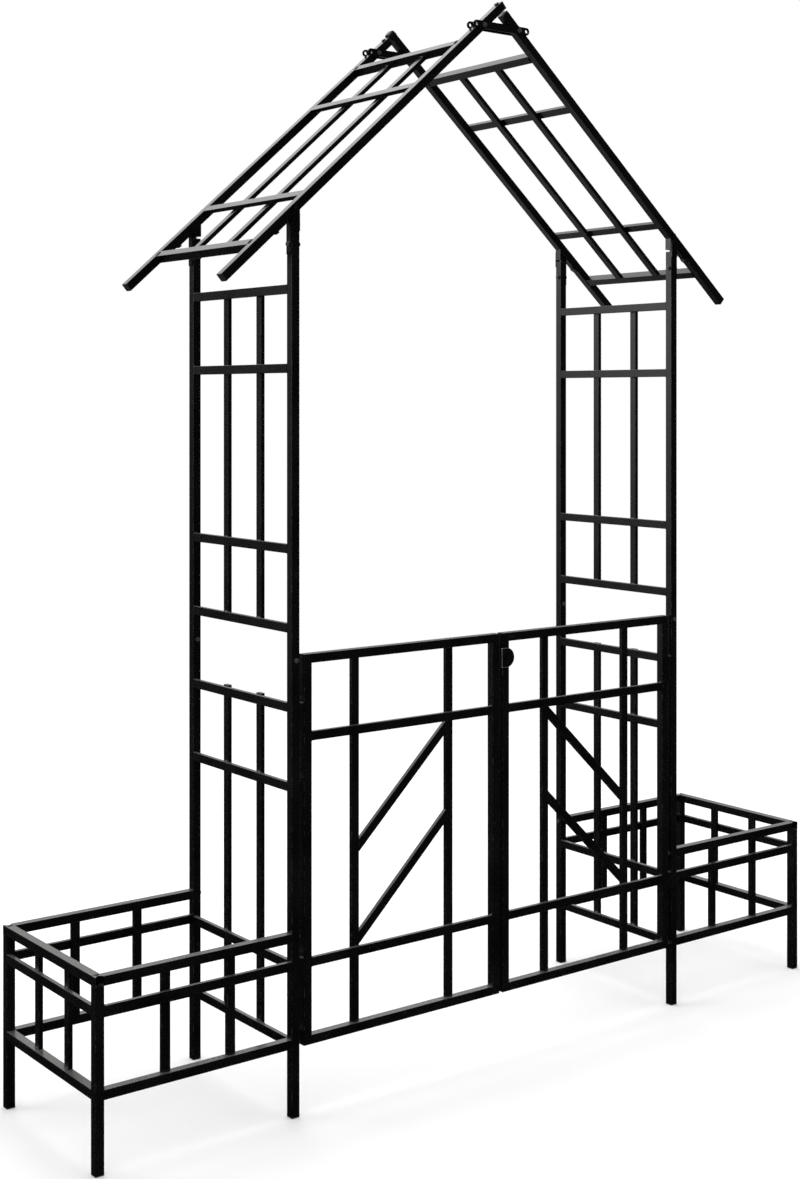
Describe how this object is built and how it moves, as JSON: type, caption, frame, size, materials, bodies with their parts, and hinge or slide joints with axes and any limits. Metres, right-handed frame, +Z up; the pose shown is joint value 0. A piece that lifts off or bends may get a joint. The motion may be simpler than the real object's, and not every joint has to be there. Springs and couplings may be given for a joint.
{
  "type": "garden arch with gate and planters",
  "caption": "Gabled metal garden arch with trellis sides and roof, a hinged double gate with a turn latch, and an open planter frame beside each pair of posts.",
  "frame": {"origin": "on the ground, in the middle of the walkway between the four posts", "axes": "+X along the front from left to right, +Y from the gate to the rear, +Z up"},
  "size_m": [2.116, 0.451, 2.4874],
  "materials": {
    "coated_frame": "satin black powder coat",
    "coated_fittings": "satin black powder coat on stamped steel",
    "black_fasteners": "black zinc plate",
    "black_plastic": "moulded black"
  },
  "bodies": {
    "frame": {"bar_caps": "black_plastic", "coupler_bolts": "black_fasteners", "eave_bolts": "black_fasteners", "eave_plates": "coated_fittings", "eave_screws": "black_fasteners", "eave_straps": "coated_fittings", "foot_plugs": "black_plastic", "hinge_pins": "black_fasteners", "left_lower_bars": "coated_frame", "left_lower_posts": "coated_frame", "left_lower_rails": "coated_frame", "left_planter_bars": "coated_frame", "left_planter_legs": "coated_frame", "left_planter_lower_rails": "coated_frame", "left_planter_top_rails": "coated_frame", "left_rafters": "coated_frame", "left_roof_cross_bars": "coated_frame", "left_roof_rails": "coated_frame", "left_roof_slats": "coated_frame", "left_upper_bars": "coated_frame", "left_upper_posts": "coated_frame", "left_upper_rails": "coated_frame", "planter_bolts": "black_fasteners", "planter_inserts": "black_plastic", "post_couplers": "coated_frame", "post_knuckles": "coated_fittings", "post_plugs": "black_plastic", "rafter_plugs": "black_plastic", "rafter_shoes": "coated_fittings", "ridge_bolts": "black_fasteners", "ridge_screws": "black_fasteners", "ridge_straps": "coated_fittings", "right_lower_bars": "coated_frame", "right_lower_posts": "coated_frame", "right_lower_rails": "coated_frame", "right_planter_bars": "coated_frame", "right_planter_legs": "coated_frame", "right_planter_lower_rails": "coated_frame", "right_planter_top_rails": "coated_frame", "right_rafters": "coated_frame", "right_roof_cross_bars": "coated_frame", "right_roof_rails": "coated_frame", "right_roof_slats": "coated_frame", "right_upper_bars": "coated_frame", "right_upper_posts": "coated_frame", "right_upper_rails": "coated_frame", "shoe_studs": "black_fasteners"},
    "left_gate": {"left_gate_bars": "coated_frame", "left_gate_braces": "coated_frame", "left_gate_knuckles": "coated_fittings", "left_gate_rails": "coated_frame", "left_gate_stiles": "coated_frame"},
    "right_gate": {"latch_bolt": "black_fasteners", "right_gate_bars": "coated_frame", "right_gate_braces": "coated_frame", "right_gate_knuckles": "coated_fittings", "right_gate_rails": "coated_frame", "right_gate_stiles": "coated_frame"},
    "latch": {"latch_plate": "coated_fittings"}
  },
  "joints": [
    {"name": "left_gate_hinge", "type": "hinge", "parent": "frame", "child": "left_gate", "pos_m": [-0.564, -0.216, 0.62], "axis": [0, 0, -1], "range_deg": [0, 105]},
    {"name": "right_gate_hinge", "type": "hinge", "parent": "frame", "child": "right_gate", "pos_m": [0.564, -0.216, 0.62], "axis": [0, 0, 1], "range_deg": [0, 105]},
    {"name": "latch_turn", "type": "hinge", "parent": "right_gate", "child": "latch", "pos_m": [0.012, -0.2185, 0.939], "axis": [0, 1, 0], "range_deg": [0, 180]}
  ]
}
